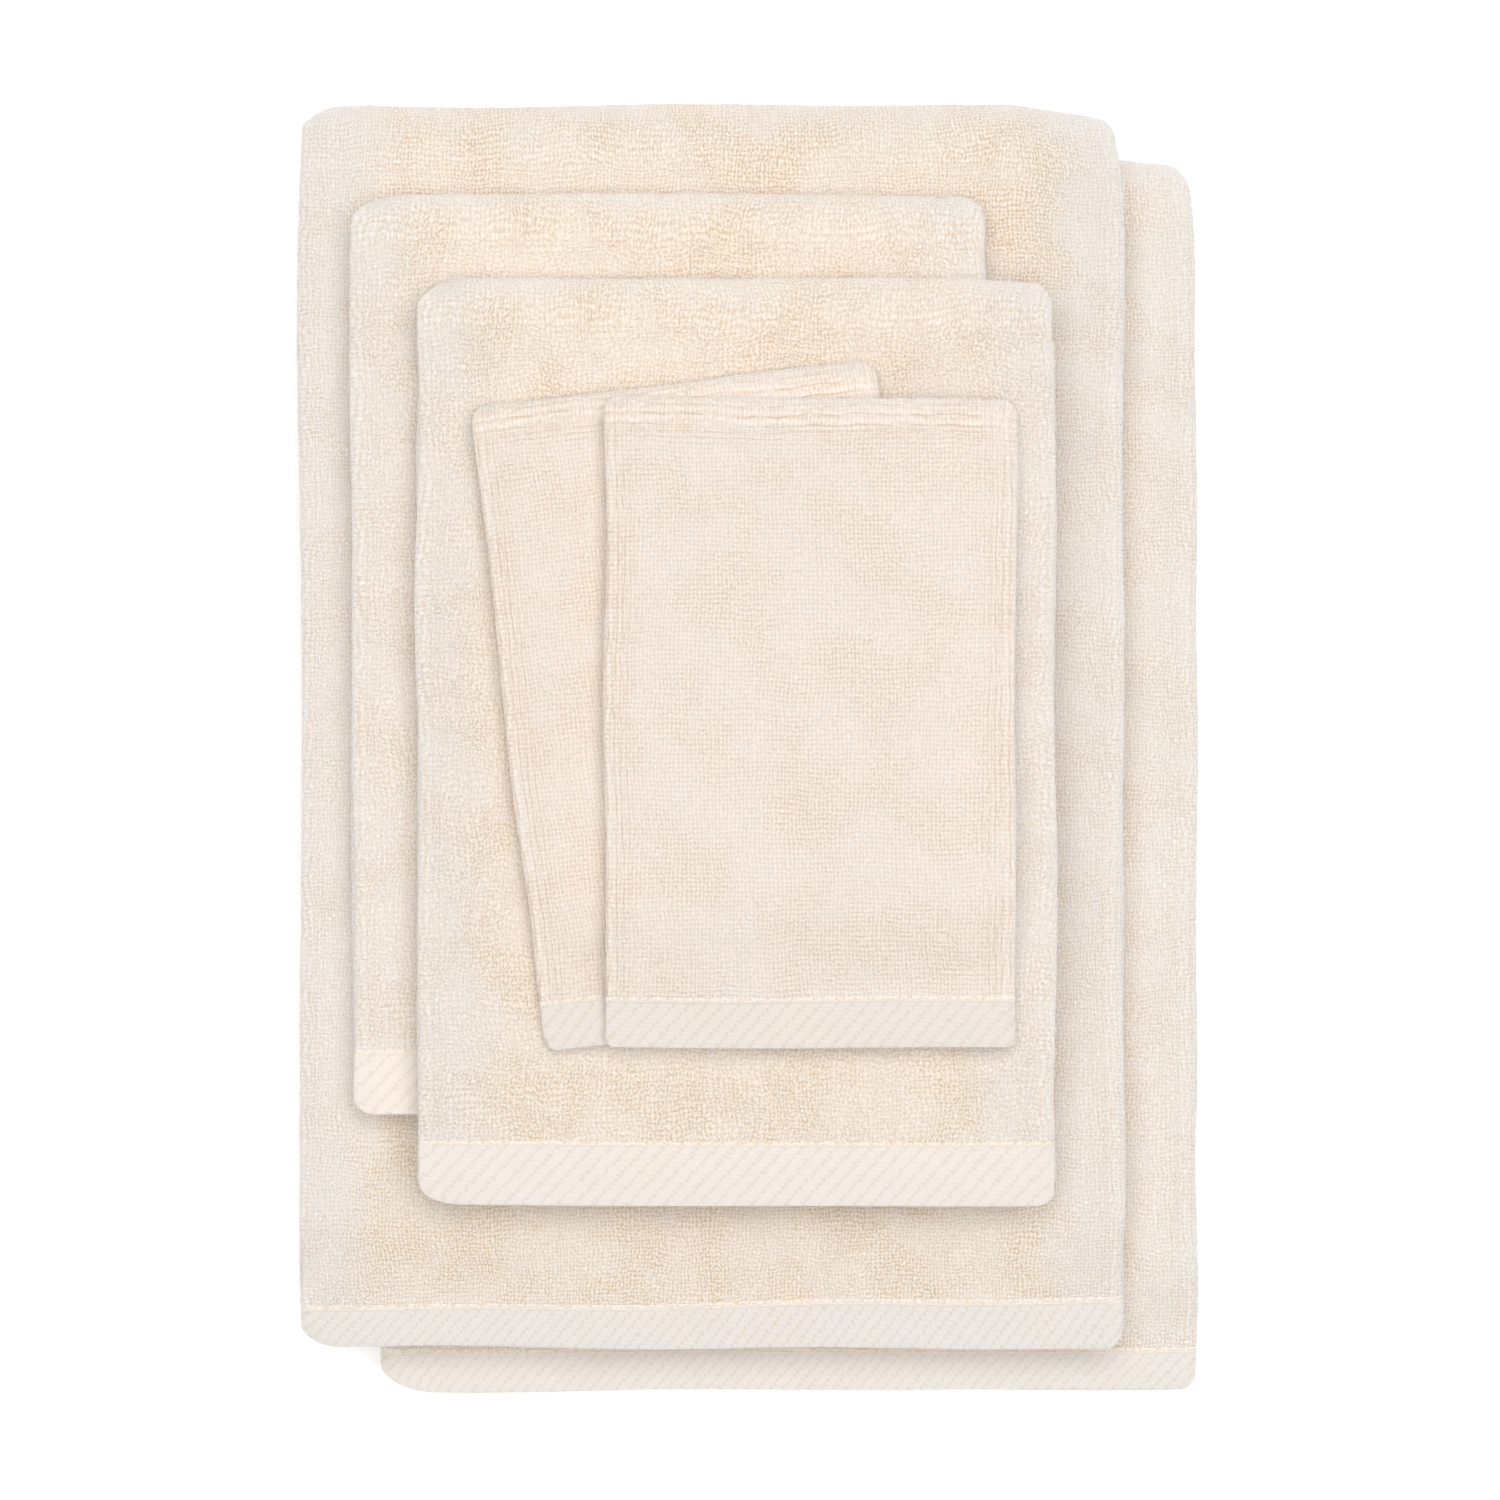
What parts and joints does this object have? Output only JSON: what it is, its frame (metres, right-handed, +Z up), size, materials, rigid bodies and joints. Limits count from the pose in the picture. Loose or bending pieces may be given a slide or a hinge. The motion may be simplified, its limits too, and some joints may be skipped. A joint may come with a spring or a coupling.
{
  "type": "bath towel set",
  "caption": "Folded terry towels stacked flat: bath towels below, hand towels between, washcloths on top; each lifts off the stack.",
  "frame": {"origin": "on the resting plane, under the middle of the stack's outline", "axes": "+Z up; +Y from the towels' front hems to their folds; +X across the towels, to the right when the front hems are nearest"},
  "size_m": [0.2504, 0.3602, 0.156],
  "materials": {
    "terry": "cream cotton terry with uncut loops",
    "hem_band": "flat woven cotton with fine diagonal ribs, matte",
    "side_hem": "flat woven cotton, turned twice, matte",
    "thread": "fine sewing thread in the towel's colour"
  },
  "bodies": {
    "bath_towel_lower": {"bath_towel_lower_terry_panel": "terry", "bath_towel_lower_front_hem": "hem_band", "bath_towel_lower_inner_hem": "hem_band", "bath_towel_lower_side_hem_a": "side_hem", "bath_towel_lower_side_hem_b": "side_hem", "bath_towel_lower_hem_stitching": "thread"},
    "bath_towel_upper": {"bath_towel_upper_terry_panel": "terry", "bath_towel_upper_front_hem": "hem_band", "bath_towel_upper_inner_hem": "hem_band", "bath_towel_upper_side_hem_a": "side_hem", "bath_towel_upper_side_hem_b": "side_hem", "bath_towel_upper_hem_stitching": "thread"},
    "hand_towel_lower": {"hand_towel_lower_terry_panel": "terry", "hand_towel_lower_front_hem": "hem_band", "hand_towel_lower_inner_hem": "hem_band", "hand_towel_lower_side_hem_a": "side_hem", "hand_towel_lower_side_hem_b": "side_hem", "hand_towel_lower_hem_stitching": "thread"},
    "hand_towel_upper": {"hand_towel_upper_terry_panel": "terry", "hand_towel_upper_front_hem": "hem_band", "hand_towel_upper_inner_hem": "hem_band", "hand_towel_upper_side_hem_a": "side_hem", "hand_towel_upper_side_hem_b": "side_hem", "hand_towel_upper_hem_stitching": "thread"},
    "washcloth_lower": {"washcloth_lower_terry_panel": "terry", "washcloth_lower_front_hem": "hem_band", "washcloth_lower_inner_hem": "hem_band", "washcloth_lower_side_hem_a": "side_hem", "washcloth_lower_side_hem_b": "side_hem", "washcloth_lower_hem_stitching": "thread"},
    "washcloth_upper": {"washcloth_upper_terry_panel_base": "terry", "washcloth_upper_inner_hem": "hem_band", "washcloth_upper_side_hem_a_base": "side_hem", "washcloth_upper_side_hem_b_base": "side_hem", "washcloth_upper_hem_stitching_base": "thread"},
    "washcloth_upper_leaf": {"washcloth_upper_terry_panel_top": "terry", "washcloth_upper_front_hem": "hem_band", "washcloth_upper_side_hem_a_top": "side_hem", "washcloth_upper_side_hem_b_top": "side_hem", "washcloth_upper_hem_stitching_top": "thread"}
  },
  "joints": [
    {"name": "bath_towel_upper_lift", "type": "slide", "parent": "bath_towel_lower", "child": "bath_towel_upper", "axis": [0, 0, 1], "range_m": [0, 0.1]},
    {"name": "hand_towel_lower_lift", "type": "slide", "parent": "bath_towel_upper", "child": "hand_towel_lower", "axis": [0, 0, 1], "range_m": [0, 0.1]},
    {"name": "hand_towel_upper_lift", "type": "slide", "parent": "hand_towel_lower", "child": "hand_towel_upper", "axis": [0, 0, 1], "range_m": [0, 0.1]},
    {"name": "washcloth_lower_lift", "type": "slide", "parent": "hand_towel_upper", "child": "washcloth_lower", "axis": [0, 0, 1], "range_m": [0, 0.1]},
    {"name": "washcloth_upper_lift", "type": "slide", "parent": "washcloth_lower", "child": "washcloth_upper", "axis": [0, 0, 1], "range_m": [0, 0.1]},
    {"name": "washcloth_upper_unfold", "type": "hinge", "parent": "washcloth_upper", "child": "washcloth_upper_leaf", "pos_m": [0.0164, 0.09615, 0.1485], "axis": [-1, 0, 0], "range_deg": [0, 90]}
  ]
}
